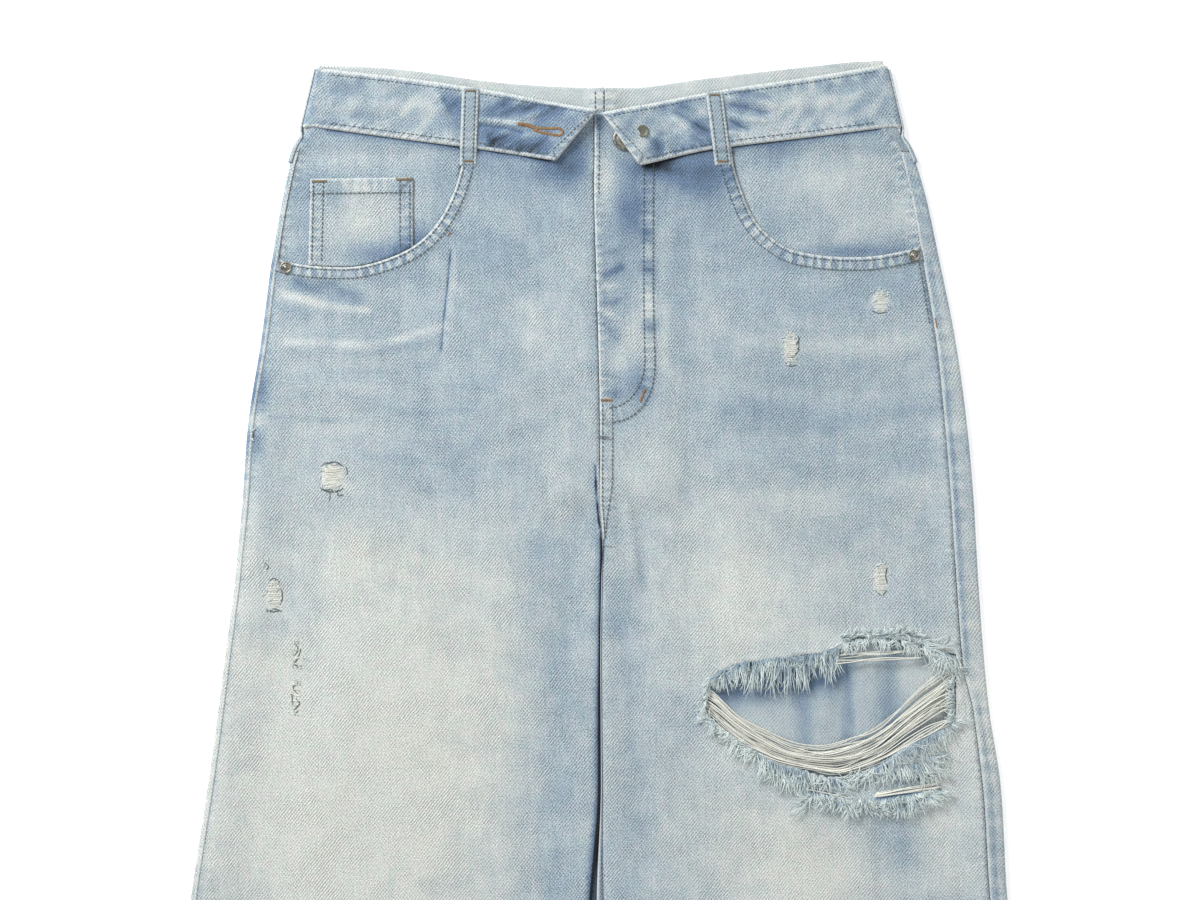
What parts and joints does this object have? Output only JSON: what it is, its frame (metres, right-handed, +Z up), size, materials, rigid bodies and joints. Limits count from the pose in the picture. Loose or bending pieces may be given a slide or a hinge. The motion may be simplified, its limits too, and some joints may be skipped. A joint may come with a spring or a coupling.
{
  "type": "ripped jeans",
  "caption": "Wide light-blue denim jeans laid flat, front up, the waistband turned down over the hips and one thigh torn open with loose threads.",
  "frame": {"origin": "centre of the footprint, on the surface the jeans lie on", "axes": "+Y from the hems to the waist, +X to the wearer's left, +Z up out of the front of the jeans"},
  "size_m": [0.708, 1.1003, 0.0125],
  "materials": {
    "light_denim": "washed and faded cotton twill",
    "back_denim": "washed cotton twill",
    "unfaded_denim": "less faded cotton twill",
    "cream_thread": "loose undyed cotton threads",
    "antique_silver": "antique silver",
    "dull_bronze": "dull bronze-grey"
  },
  "bodies": {
    "root": {"front_right": "light_denim", "front_left": "light_denim", "back_right": "back_denim", "back_left": "back_denim", "yoke_right": "back_denim", "yoke_left": "back_denim", "back_pocket_right": "unfaded_denim", "back_pocket_left": "unfaded_denim", "pocket_facing_right": "unfaded_denim", "pocket_facing_left": "unfaded_denim", "coin_pocket": "light_denim", "fly_shield": "unfaded_denim", "waistband_right": "light_denim", "waistband_left": "light_denim", "belt_loop_front_right": "unfaded_denim", "belt_loop_front_left": "unfaded_denim", "belt_loop_side_right": "unfaded_denim", "belt_loop_side_left": "unfaded_denim", "belt_loop_back": "unfaded_denim", "rivet_right": "antique_silver", "rivet_left": "antique_silver", "button_head": "antique_silver", "button_tack": "dull_bronze", "rip_threads": "cream_thread", "rip_fringe_upper": "light_denim", "rip_fringe_middle": "light_denim", "rip_fringe_lower": "light_denim"}
  },
  "joints": []
}
